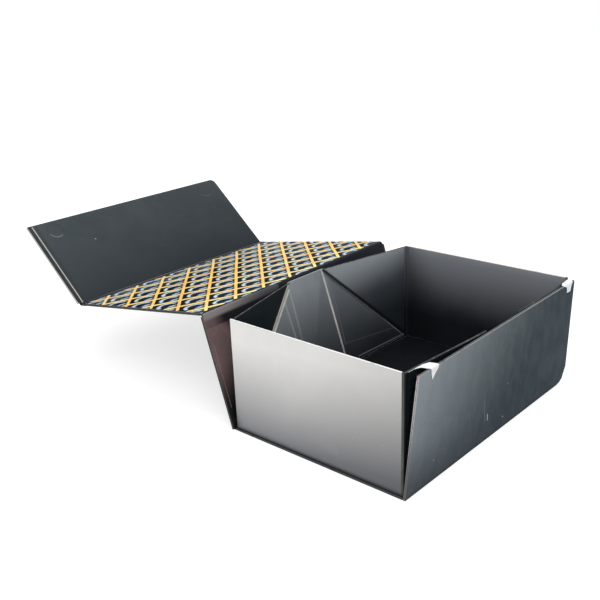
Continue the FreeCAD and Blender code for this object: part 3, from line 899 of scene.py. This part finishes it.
def on_body(piece, body, slot, *stands_for):
    """The finished piece moves with a body."""
    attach(piece, body)
    described(stands_for)


def across_fold(piece, first, second, start, end, slot, *stands_for):
    """The finished piece is baked in place, where it lies between two bodies; start and end are not used."""
    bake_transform(piece)
    described(stands_for)


# Where an ear starts to follow the front board, and where it does so wholly, in plan.
EAR_BLEND = {"left": ((-125, -57), (-50, -132)), "right": ((125, -70), (105, -100))}


def swung_out(side, spot):
    """A place of the tray's wall as it stands: its ear is swung out to lie along the front."""
    start, end = (Vector(place) for place in EAR_BLEND[side])
    way = end - start
    t = min(1.0, max(0.0, (spot.to_2d() - start).dot(way) / way.length_squared))
    share = t * t * (3 - 2 * t)
    pivot = fold_point("front_fold")
    return pivot + Matrix.Rotation(radians(FRONT_LEAN * share), 3, "X") @ (spot - pivot)


def follows_front(piece, side, slot, *stands_for):
    start, end = EAR_BLEND[side]
    across_fold(piece, "tray", "front", (*start, 0), (*end, 0), slot, *stands_for)


# The parts of a wall with its ear, which are also the numbers of their finishes.
WALL, CORNER, EAR, INSIDE, RIM, EAR_RIM = range(6)


def wall_line(side):
    """The middle of an end wall and its ear in plan, from the back to the ear's end.

    Each entry is (x, y, outward direction, place along the strip, part).
    """
    sign = SIDES[side]
    half = WALL_BOARD / 2
    wall_steps, corner_steps, ear_steps = 34, 8, 26
    centre = Vector((WALL_FACE - WALL_CORNER, EAR_FACE + WALL_CORNER))
    line = []
    for k in range(wall_steps + 1):
        y = WALL_BACK + (centre.y - WALL_BACK) * k / wall_steps
        line.append((WALL_FACE - half, y, Vector((1, 0)), WALL_BACK - y, WALL))
    length = WALL_BACK - centre.y
    for k in range(1, corner_steps):
        turn = pi / 2 * k / corner_steps
        out = Vector((cos(turn), -sin(turn)))
        spot = centre + out * (WALL_CORNER - half)
        part = CORNER if k < corner_steps / 2 else EAR
        line.append((spot.x, spot.y, out, length + turn * WALL_CORNER, part))
    length += pi / 2 * WALL_CORNER
    for k in range(ear_steps + 1):
        x = centre.x + (EAR_END - centre.x) * k / ear_steps
        line.append((x, EAR_FACE + half, Vector((0, -1)), length + centre.x - x, EAR))
    return [(sign * x, y, Vector((sign * out.x, out.y)), s, part) for x, y, out, s, part in line]


def wall_with_ear(side, rim, ear_rim):
    """One end wall and its ear: a board wrapped in one sheet, rounded over its top rim."""
    shell = Shell()
    half = WALL_BOARD / 2
    top_steps = 8
    levels = [2.05, 3.0, 12.0, 26.0, 40.0, 54.0, 68.0, 82.0, 94.0, WALL_TOP - half]
    line = wall_line(side)
    rows = []
    for x, y, out, s, part in line:
        places = [(half, z, 1.0 if part == CORNER else 0.0, 1.0) for z in levels]
        for k in range(1, top_steps):
            turn = pi * k / top_steps
            places.append((half * cos(turn), WALL_TOP - half + half * sin(turn), 1.0, 0.5))
        places += [(-half, z, 0.0, 0.0) for z in reversed(levels)]
        rows.append([shell.point(swung_out(side, Vector((x + out.x * offset, y + out.y * offset, z))),
                                 (s, z), worn, depth) for offset, z, worn, depth in places])
    rim_start, rim_end = len(levels) - 1, len(levels) + top_steps - 1
    for j in range(len(rows) - 1):
        part = CORNER if CORNER in (line[j][4], line[j + 1][4]) else line[j][4]
        for i in range(len(rows[j])):
            k = (i + 1) % len(rows[j])
            rim_part = RIM if part == WALL else EAR_RIM
            chosen = part if i < rim_start else rim_part if i < rim_end else INSIDE
            shell.face((rows[j][i], rows[j][k], rows[j + 1][k], rows[j + 1][i]), chosen, k != 0)
    shell.face(rows[0][::-1], CORNER, False)
    shell.face(rows[-1], EAR_RIM, False)
    if side == "left":
        shell.turn_inside_out()
    # The corner, the ear and the ear's rim take darker copies of the wall's paper: painted shade.
    piece = shell.build(f"{side}_wall_and_ear", ["pewter", "pewter_corner", "ear", "inside", rim, ear_rim])
    follows_front(piece, side, "tray_board", f"{side}_end_wall", f"{side}_front_ear")


def ear_tape(side):
    """The strip of double-sided tape up an ear's outer face."""
    shell = Shell()
    inner, outer, low, high = 105.6, 121.6, 6.0, 101.0
    rows, columns = 12, 6
    skins = []
    for lift in (0.05, 0.24):
        skins.append([])
        for j in range(rows + 1):
            z = low + (high - low) * j / rows
            across = [SIDES[side] * (inner + (outer - inner) * k / columns) for k in range(columns + 1)]
            skins[-1].append([shell.point(swung_out(side, Vector((x, EAR_FACE - lift, z))), (x, z))
                              for x in across])
    shell.sheet(*skins, rounded=True)
    if side == "right":
        shell.turn_inside_out()
    follows_front(shell.build(f"{side}_tape_strip", ["tape"]), side, "tape", f"{side}_tape")


COVERED = ("turn_in", "cover_edge", "cover")
CARDED = ("card", "card_edge", "card")


def make_tray_pieces():
    plate("base_board", "tray", rectangle(-CASE_END, CASE_END, -87.2, 86.7), 0.15, BOARD, COVERED,
          "cover_board", "base_panel", radii=[0.6, 8, 0.6, 0.6])
    plate("floor_board", "tray", rectangle(-123.2, 123.2, -84.8, 83.7), BOARD, 2 * BOARD,
          ("floor", "card_edge", "floor"), "floor_paper", "floor_panel", radii=0.8, arris=0.35)
    wall_with_ear("left", "rim", "ear_rim")
    ear_tape("left")
    wall_with_ear("right", "far_rim", "far_ear_rim")
    ear_tape("right")


def make_back_pieces():
    plate("back_board", "back", rectangle(-129.2, CASE_END, 0.4, BACK_TOP - 0.8), 0, BOARD,
          ("back_lining", "cover_edge", "cover"), "cover_board", "back_panel", radii=0.5)
    for name, node, radii, corners in (
            ("left_card_triangle", "left_back_triangle", [0, 0.4, 0.4],
             [(-123.2, CARD_FOOT), (-24.6, CARD_FOOT), (-23.9, 101.6)]),
            ("right_card_triangle", "right_back_triangle", [0.4, 0, 0.4],
             [(27.9, CARD_FOOT), (123.2, CARD_FOOT), (25.3, 101.8)]),
            ("centre_card", "back_centre_panel", 0.4,
             [(-23.9, CARD_FOOT), (27.2, CARD_FOOT), (24.4, 101.9), (-23.2, 101.9)])):
        plate(name, "back", corners, BOARD, BOARD + CARD, CARDED, "lining_card", node, radii=radii)


def make_gussets():
    for body, sign, look in (("left_gusset", -1, "gusset_near"), ("right_gusset", 1, "gusset_far")):
        corners = [(0, 2.9), (-sign * 104.24, 98.57), (0, 102.0)][::-sign]
        plate(f"{body}_card", body, corners, -CARD / 2, CARD / 2, (look, "dark_card_edge", "gusset_near"),
              "lining_card", body, wander=0.03)


def make_lid_and_flap_pieces():
    left, right = LID_ENDS
    plate("lid_board", "lid", rectangle(left, right, 1.2, LID_LENGTH - 2), -1, 1, COVERED, "cover_board",
          "lid_panel", radii=0.6)
    left, right, high = left + 1.2, right - 1, LID_LENGTH - 5.6
    plate("lid_trellis_lining", "lid", [(left, 3.4), (right, 4.6), (right, high), (left, high)], 1,
          1 + LINING, ("lid_print", "lining_edge", "turn_in"), "printed_paper", "lid_lining", arris=0.08,
          radii=0.6)
    left, right = FLAP_ENDS
    plate("flap_board", "flap", rectangle(left, right, 2, FLAP_LENGTH - 0.4), -1, 1,
          ("turn_in", "flap_edge", "cover"), "cover_board", "closure_flap", radii=[0.5, 0.5, 6.0, 0.9])
    plate("flap_slate_lining", "flap", rectangle(left + 4.6, right - 1.3, 0.6, FLAP_LENGTH - 2.0), 1,
          1 + LINING, ("flap_lining", "lining_edge", "turn_in"), "slate_paper", "flap_lining", arris=0.08,
          radii=[0.5, 0.5, 5.0, 0.8])


FRONT_TWIST = 0.45      # degrees: the front's left end leans out this much more than its middle


def front_warp(x, y, z):
    """A place of the flat front board, on the board as it is twisted."""
    extra = radians(-FRONT_TWIST * x / CASE_END)
    return Vector((x, y * cos(extra), z + y * sin(extra)))


def make_front_pieces():
    """The front board and its lining, drawn from inside: X and Z are turned over."""
    rounding = 14.0

    def left(y):
        return -CASE_END - 1.8 + 7.8 * y / FRONT_HEIGHT

    def right(y):
        return CASE_END - 5.0 * y / FRONT_HEIGHT

    def foot(u):
        gone = rounding - u * 2 * CASE_END
        return 0.4 + (rounding - sqrt(max(0.0, rounding ** 2 - gone ** 2)) if gone > 0 else 0.0)

    def warp(x, y, z):
        bent = front_warp(-x, y, -z)
        return Vector((-bent.x, bent.y, -bent.z))

    turned = FRONT @ Matrix.Rotation(pi, 4, "Y")
    board = bowed_plate("front_board", turned, left, right, foot, lambda u: FRONT_HEIGHT, 0, BOARD,
                        ["turn_in", "front_edge", "front_cover", "raw_edge"], warp)
    on_body(board, "front", "cover_board", "front_panel")
    lining = bowed_plate("front_inner_lining", turned, lambda y: left(y) + 2.4, lambda y: right(y) - 1.2,
                         lambda u: 5.5, lambda u: FRONT_HEIGHT - 1, BOARD, BOARD + 0.26,
                         ["ear", "lining_edge", "ear", "raw_edge"], warp, arris=0.1)
    on_body(lining, "front", "slate_paper", "front_lining")


@node_group("Trellis strands", kind="Geometry", gives="Geometry", materials=["ink"], count=12, first=0.0,
            step=35.7, lean=1.0, left=LID_ENDS[0] + 1.5, right=LID_ENDS[1] - 1.3, low=PRINT_LOW,
            skew=PRINT_SKEW, high=172.9, width=3.0, height=0.12, level=1.2, hook=0.0, seed=1.0)
def trellis_strands(w, count, first, step, lean, left, right, low, skew, high, width, height, level, hook,
                    seed, ink):
    """Parallel strands cut to a panel, as rounded ribs with tapering ends.

    Each strand is a line from fold side to far side. Its points are placed by their number and
    their share along it, so that every size stays an input.
    """
    def made(kind, inputs=None, **settings):
        return w.value(f"GeometryNode{kind}", inputs, **settings)

    wander, short_strand, taper = 2.0, 3.0, 2.4
    feet = made("MeshLine", {"Count": count, "Offset": (1, 0, 0)})
    line = made("CurvePrimitiveLine", {"Start": ORIGIN, "End": (0, 1, 0)})
    line = made("ResampleCurve", {"Curve": line, "Count": 72})
    copies = made("InstanceOnPoints", {"Points": feet, "Instance": line})
    strands = made("RealizeInstances", {0: copies})

    number, share, _ = w.parts(made("InputPosition"))
    foot = w.math("ROUND", number) * step + first
    near_end, far_end = (left - foot) / lean, (right - foot) / lean
    low = foot * skew + low
    start = w.math("MAXIMUM", w.math("MINIMUM", near_end, far_end), low)
    end = w.math("MINIMUM", w.math("MAXIMUM", near_end, far_end), high)
    length = end - start
    up = length * share + start
    straight = up * lean + foot
    stray = w.noise(w.combine(straight, up, seed * 17.0), 0.03, 2.0) - 0.5
    bend = w.ramp(up - low, 0.0, 11.0, 1.0, 0.0)
    x = bend * bend * hook + (stray * wander + straight)
    reach = w.math("MINIMUM", share, 1.0 - share) * length

    held = w.node("GeometryNodeCaptureAttribute", {0: strands})
    held.capture_items.new("FLOAT", "reach")
    held.capture_items.new("FLOAT", "length")
    w.feed(held.inputs[1], reach)
    w.feed(held.inputs[2], length)
    kept, reach, length = (Value(w, held.outputs[k]) for k in range(3))
    kept = made("SetPosition", {"Geometry": kept, "Position": w.combine(x, up, level)})
    short = w.value("FunctionNodeCompare", {0: length, 1: short_strand}, data_type="FLOAT",
                    operation="LESS_THAN")
    kept = made("DeleteGeometry", {0: kept, 1: short}, domain="POINT")
    tip = 1.0 - w.math("DIVIDE", reach, taper, clamp=True)
    full = w.math("SQRT", 1.02 - tip * tip)
    uneven = w.noise(made("InputPosition"), 0.13, 2.0) * 0.4 + 0.8
    kept = made("SetCurveRadius", {"Curve": kept, "Radius": full * uneven})
    kept = made("SetCurveNormal", {"Curve": kept}, mode="Z_UP")
    outline = made("CurvePrimitiveCircle", {"Resolution": 10, "Radius": 1.0})
    outline = made("Transform", {"Geometry": outline, "Scale": w.combine(width * 0.5, height, 1.0)})
    ribs = made("CurveToMesh", {"Curve": kept, "Profile Curve": outline, "Scale": made("InputRadius"),
                                "Fill Caps": True})
    whole = made("RealizeInstances", {0: ribs})
    return {"geometry": made("SetMaterial", {"Geometry": whole, "Material": ink})}


FOLD_ROUNDING = 2.4     # how far up the lid the rounding of its fold reaches


def lay_strands(name, family, **sizes):
    """One family of strands as a mesh on the lid, let down over the rounding of the lid's fold."""
    holder = add_object(name, bpy.data.meshes.new(name))
    modifier = holder.modifiers.new("strands", "NODES")
    modifier.node_group = trellis_strands
    values = {**family, **sizes}
    for item in trellis_strands.interface.items_tree:
        if item.in_out == "INPUT" and item.name in values:
            modifier[item.identifier] = values[item.name]
    evaluated = holder.evaluated_get(bpy.context.evaluated_depsgraph_get())
    mesh = bpy.data.meshes.new_from_object(evaluated)
    holder.modifiers.remove(modifier)
    holder.data = mesh
    mesh.name = name
    lay_pattern(mesh, [vertex.co.copy() for vertex in mesh.vertices])
    for vertex in mesh.vertices:
        vertex.co.z -= max(0.0, FOLD_ROUNDING - vertex.co.y) ** 2 / (2.6 * FOLD_ROUNDING)
    mesh.shade_smooth()
    mesh.transform(Matrix.Scale(MM, 4) @ LID)
    on_body(holder, "lid", "printed_paper")


def make_trellis():
    lay_strands("strands_under", FALLING, width=5.0, height=0.09, level=1.19, low=PRINT_LOW + 1.6, hook=5.0,
                seed=2.0, ink=FINISH["strand_under"])
    lay_strands("strands_over", RISING, width=3.0, height=0.16, level=1.2, low=PRINT_LOW + 0.2, seed=5.0,
                ink=FINISH["strand_over"])


def fold_paper(name, start, end, rounding, ends, looks, slot, *stands_for, bend, level=None, **details):
    """The paper that bridges two boards at their fold.

    start and end: (body, place along the board, level through it) where it leaves each board;
    rounding: how softly it turns; ends: left and right; bend: not used; level: its level on the
    first board at the fold, where that isn't the start's.
    """
    (first, _, through), (second, _, far_through) = start, end
    level = through if level is None else level
    corner = meeting(section(first, 0, level), section(first, 10, level),
                     section(second, 0, far_through), section(second, 10, far_through))
    line = eased([section(*start), corner, section(*end)], rounding)
    piece = ribbon(name, line, *ends, finishes=looks, **details)
    across_fold(piece, first, second, *bend, slot, *stands_for)


def make_fold_papers():
    """The papers that bridge the boards at each fold, outside and inside."""
    cover = ("cover", "cover")
    end = CASE_END - 0.7
    outside, foot = {"thickness": 0.2, "wander": 0.4}, {"thickness": 0.16, "wander": 0.3}
    lid_bend = (BACK @ Vector((0, 101.2, 1)), LID @ Vector((0, 2.4, 0)))
    flap_bend = (LID @ Vector((0, LID_LENGTH - 2.4, 0)), FLAP @ Vector((0, 2.4, 0)))
    fold_paper("lid_fold_cover", ("back", 93, -0.14), ("lid", 9, -1.14), 2.5, (-end, end - 1.6), cover,
               "cover_board", "lid_fold_paper", bend=lid_bend, **outside)
    fold_paper("lid_fold_lining", ("back", 90.5, 2.08), ("lid", 5.6, 1.06), 3.2,
               (LID_ENDS[0] + 1.3, LID_ENDS[1] - 1.1), ("fold_print", "fold_print"), "slate_paper",
               bend=lid_bend, columns=120, end_place=5.6, **foot)
    fold_paper("flap_fold_cover", ("lid", LID_LENGTH - 9, -1.14), ("flap", 9, -1.14), 2.4,
               (FLAP_ENDS[0] + 2.5, FLAP_ENDS[1] - 0.7), cover, "cover_board", "flap_fold_paper",
               bend=flap_bend, **outside)
    fold_paper("flap_fold_lining", ("lid", LID_LENGTH - 7, 1.26), ("flap", 1.6, 1.12), 2.2,
               (LID_ENDS[0] + 1.0, LID_ENDS[1] - 1.3), ("flap_fold", "turn_in"), "slate_paper",
               bend=flap_bend, level=1.2, thickness=0.16, wander=0.25)
    fold_paper("front_fold_cover", ("tray", -79, 0.09), ("front", 1.7, 0.1), 1.6, (-end, end - 13), cover,
               "cover_board", bend=((0, -87.4, 0), (0, -90.4, 0)), **foot)
    fold_paper("back_fold_cover", ("tray", 79, 0.09), ("back", 3, -0.1), 1.6, (-end, end), cover,
               "cover_board", bend=((0, 87.4, 0), (0, 90.2, 0)), **foot)


PLAN = Matrix(((0, 1, 0, 0), (0, 0, 1, 0), (1, 0, 0, 0), (0, 0, 0, 1)))     # a ribbon's X runs up


def make_corner_papers():
    """The paper in each back corner, from the end wall round to the gusset."""
    swing = radians(GUSSET_SWING)
    # The left corner's paper is painted dark for shade; the right one's shade is painted towards its foot and
    # along its fold.
    for side, sign, look in (("left", -1, "dark_hinge"), ("right", 1, "far_corner")):
        fold = fold_point(f"{side}_gusset_fold").to_2d()
        along = Vector((-sign * cos(swing), sin(swing)))
        face = Vector((-sign * sin(swing), -cos(swing))) * (CARD / 2 + 0.1)
        wall_x = sign * (WALL_FACE - WALL_BOARD - 0.1)
        line = [Vector((wall_x, 82.0)), Vector((wall_x, fold.y - 0.3)), fold + along * 1.2 + face,
                fold + along * 3.4 + face]
        piece = ribbon(f"{side}_corner_paper", eased(line, 0.9, 3)[::-sign], 4.3, 101.2, 0.14, [look, look],
                       columns=24, board=PLAN)
        across_fold(piece, "tray", f"{side}_gusset", (fold.x, fold.y - 1.2, 0),
                    (fold.x + along.x * 1.4, fold.y + 0.24, 0), "lining_card")


def make_creases():
    """The creases: low ridges of paper, each from one place of a board to another. The near diagonal's cream
    is a painted highlight, and the centre and left creases darken towards their foot, painted shade.
    """
    card_top = BOARD + CARD
    for name, body, start, end, width, level, look in (
            ("centre_crease", "back", (27.4, 3.4), (24.7, 101.6), 2.4, card_top, "crease"),
            ("white_crease_top", "back", (25.0, 98.9), (24.7, 101.9), 3.0, card_top + 0.03, "worn_spot"),
            ("left_crease", "back", (-24.2, 3.4), (-23.4, 101.4), 2.8, card_top - 0.05, "soft_crease"),
            ("left_slanting_crease", "back", (-113.4, 5.8), (-23.6, 95.4), 2.6, card_top, "cream_crease"),
            ("left_diagonal_crease", "left_gusset", (2.4, 6.4), (101.4, 97.3), 2.8, CARD / 2,
             "cream_crease")):
        start, end = Vector(start), Vector(end)
        way = (end - start).normalized()
        side = Vector((-way.y, way.x)) * width / 2
        plate(name, body, [start - side, end - side, end + side, start + side], level - 0.03, level + 0.1,
              (look, look, look), "lining_card", radii=0.25, arris=0.06, wander=0.12, spacing=3.0)


def loose_tab(side, rows, thickness=0.16):
    """A curled strip of paper through rows of (left, right) edge points in the row frame."""
    shell = Shell()
    columns = 5
    grid = []
    for left, right in rows:
        grid.append([Vector(left).lerp(Vector(right), k / columns) for k in range(columns + 1)])
    skins = {1: [], -1: []}
    for j, row in enumerate(grid):
        ahead = (grid[min(j + 1, len(grid) - 1)][2] - grid[max(j - 1, 0)][2]).normalized()
        normal = (row[-1] - row[0]).normalized().cross(ahead).normalized()
        for face, skin in skins.items():
            lift = normal * (face * thickness / 2)
            skin.append([shell.point(spot + lift, (spot.x, j * 2.0)) for spot in row])
    shell.sheet(skins[1], skins[-1])
    piece = shell.build(f"{side}_loose_tab", ["liner"])
    across_fold(piece, "tray", "front", (0, -88.2, 101), (0, -93.6, 101), "release_liner",
                f"{side}_liner_tab")


def make_tabs():
    """The free ends of the release liners: from the ear's rim over the front's top edge."""
    def on_front(rows):
        """Rows given on the front board: the left and the right point, each (x, up, out)."""
        return [tuple(FRONT @ front_warp(*spot) for spot in row) for row in rows]

    loose_tab("left", [
        ((-121.5, -87.2, 99.0), (-113.5, -87.9, 99.0)),
        ((-120.4, -87.6, 101.5), (-111.4, -88.3, 101.5)),
        ((-115.9, -88.6, 101.98), (-105.6, -88.9, 102.0)),
        ((-110.6, -91.0, 102.02), (-99.6, -91.0, 102.04)),
    ] + on_front([
        ((-108.4, 101.95, -1.6), (-97.6, 101.98, -1.6)),
        ((-107.6, 101.95, -0.2), (-97.4, 101.98, -0.2)),
        ((-107.4, 101.4, 0.28), (-97.8, 101.5, 0.28)),
        ((-107.2, 99.6, 0.3), (-98.8, 99.4, 0.3)),
        ((-106.6, 97.0, 0.3), (-101.8, 96.8, 0.34)),
        ((-105.9, 94.6, 0.34), (-103.9, 94.4, 0.38)),
        ((-105.3, 93.0, 0.38), (-105.0, 93.0, 0.4)),
    ]))
    loose_tab("right", [
        ((111.0, -90.2, 99.0), (118.5, -89.4, 99.0)),
        ((109.0, -91.2, 101.6), (118.4, -90.2, 101.6)),
        ((105.0, -92.0, 102.2), (117.8, -91.4, 102.2)),
    ] + on_front([
        ((100.6, 102.1, -2.0), (117.2, 102.1, -1.8)),
        ((100.2, 102.1, -0.3), (117.0, 102.1, -0.3)),
        ((101.8, 101.3, 0.28), (116.6, 101.4, 0.28)),
        ((105.4, 99.9, 0.3), (115.4, 99.7, 0.3)),
        ((106.8, 97.4, 0.3), (114.6, 97.2, 0.3)),
        ((107.4, 94.0, 0.34), (114.0, 93.8, 0.34)),
    ]))


# ---------------------------------------------------------------- camera, light and table

def stand_camera():
    data = bpy.data.cameras.new("camera")
    data.lens, data.sensor_width = 52.38, 36.0
    place, yaw, pitch, roll = (-0.57765, -0.40514, 0.36333), radians(42.38), radians(20.39), radians(-2.438)
    look = Vector((cos(pitch) * cos(yaw), cos(pitch) * sin(yaw), -sin(pitch)))
    turned = look.to_track_quat("-Z", "Y").to_matrix() @ Matrix.Rotation(roll, 3, "Z")
    camera = add_object("camera", data)
    camera.matrix_world = Matrix.Translation(place) @ turned.to_4x4()
    bpy.context.scene.camera = camera


def soft_lamp(name, place, aim, size, watts):
    data = bpy.data.lights.new(name, "AREA")
    data.shape, data.size, data.energy = "DISK", size, watts
    lamp = add_object(name, data)
    lamp.location = place
    lamp.rotation_euler = (Vector(aim) - Vector(place)).to_track_quat("-Z", "Y").to_euler()


def seen_directly(w):
    """1 for the camera and for mirror-like or see-through looks at the studio."""
    path = w.node("ShaderNodeLightPath").outputs
    kinds = ("Camera", "Glossy", "Transmission")
    camera, glossy, through = (Value(w, path[f"Is {kind} Ray"]) for kind in kinds)
    return w.math("MAXIMUM", w.math("MAXIMUM", camera, glossy), through)


def light_studio():
    world = bpy.data.worlds.new("studio")
    bpy.context.scene.world = world
    w = emptied(world)
    level = w.ramp(seen_directly(w), 0.0, 1.0, 0.68, 1.0, smooth=False)
    sky = w.value("ShaderNodeBackground", {"Color": (1, 1, 1, 1), "Strength": level})
    w.node("ShaderNodeOutputWorld", {"Surface": sky})
    soft_lamp("key softbox", (-1.1, -0.9, 1.5), (0, 0, 0.05), 1.3, 14)
    soft_lamp("top softbox", (0.2, 0.4, 1.9), (0, 0.1, 0.05), 1.6, 11)


def lay_table():
    """The pale table: plain white where nothing shades it, with the box's soft shadow left on it."""
    FINISH["table"] = bpy.data.materials.new("pale table")
    w = emptied(FINISH["table"])
    uneven = w.blend(w.noise(w.body_place(), 0.01), (206, 206, 206), (212, 212, 212))
    matt = w.value("ShaderNodeBsdfDiffuse", {"Color": uneven})
    glow = w.value("ShaderNodeEmission", {"Color": (1, 1, 1, 1), "Strength": seen_directly(w) * 0.62})
    both = w.value("ShaderNodeAddShader", {0: matt, 1: glow})
    w.node("ShaderNodeOutputMaterial", {"Surface": both})
    shell = Shell()
    reach = 4000
    shell.face([shell.point((x, y, 0), (x, y)) for x, y in rectangle(-reach, reach, -reach, reach)], 0, False)
    shell.build("table", ["table"])


stand_camera()
light_studio()
lay_table()
make_tray_pieces()
make_back_pieces()
make_gussets()
make_lid_and_flap_pieces()
make_front_pieces()
make_trellis()
make_fold_papers()
make_corner_papers()
make_creases()
make_tabs()
for node, look in (("left_flap_magnet", "magnet"), ("right_flap_magnet", "magnet"),
                   ("left_front_plate", "steel"), ("right_front_plate", "steel")):
    frame["nodes"][node].data.materials.clear()
    frame["nodes"][node].data.materials.append(FINISH[look])

bpy.context.scene.view_settings.view_transform = "Standard"
